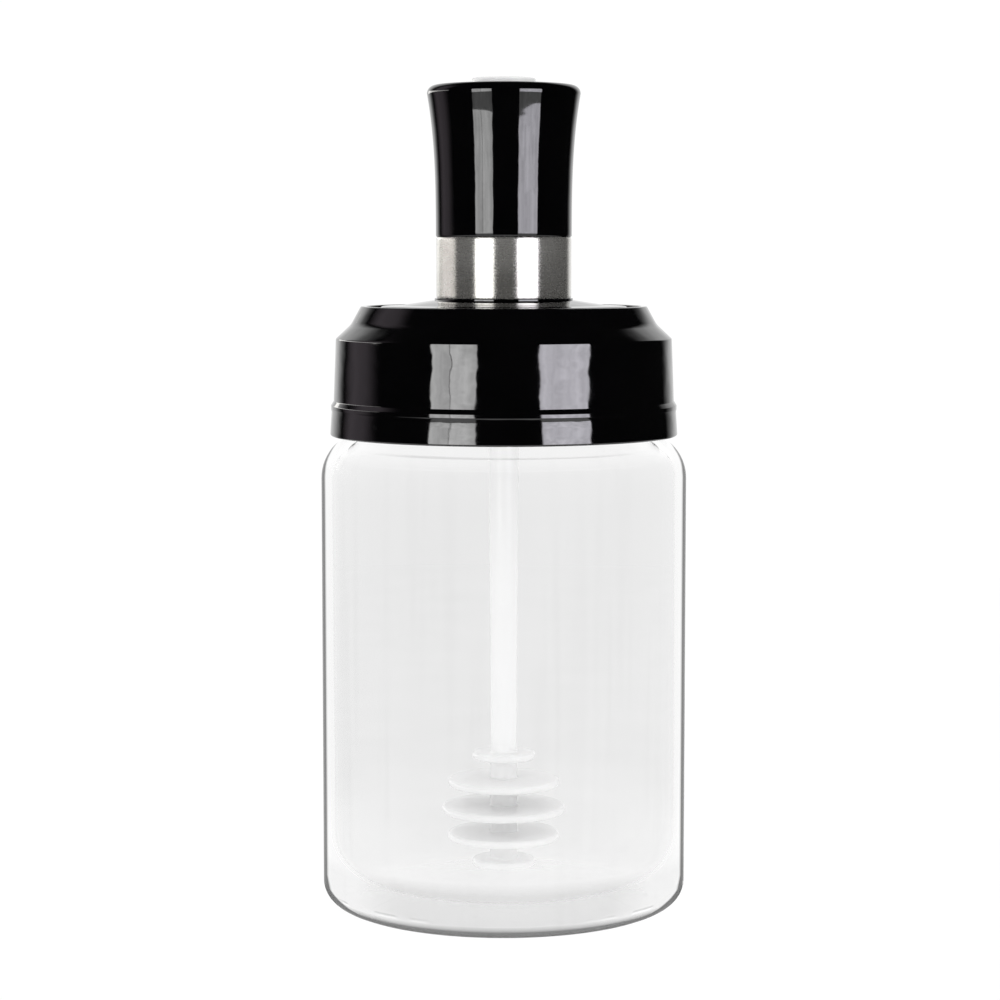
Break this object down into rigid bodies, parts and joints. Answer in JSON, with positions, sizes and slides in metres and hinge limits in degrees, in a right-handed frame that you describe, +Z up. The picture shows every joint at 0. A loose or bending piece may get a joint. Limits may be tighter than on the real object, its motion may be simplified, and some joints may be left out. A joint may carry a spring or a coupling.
{
  "type": "honey jar with dipper lid",
  "caption": "Clear glass jar with a black screw lid; a ribbed honey dipper hangs from the lid, which is lifted by a steel-collared, flared knob.",
  "frame": {"origin": "centre of the flat ring that the jar stands on, on the jar's axis", "axes": "+Z up along the jar's axis, towards the knob; the jar is round, so +X and +Y only mark the right and the back as drawn"},
  "size_m": [0.075, 0.075, 0.1696],
  "materials": {
    "glass": "clear, polished",
    "black_plastic": "glossy black",
    "steel": "satin",
    "white_plastic": "smooth, slightly translucent"
  },
  "bodies": {
    "root": {"glass_jar": "glass", "screw_lid": "black_plastic", "steel_ferrule": "steel", "knob": "black_plastic", "knob_button": "white_plastic", "honey_dipper": "white_plastic"}
  },
  "joints": []
}
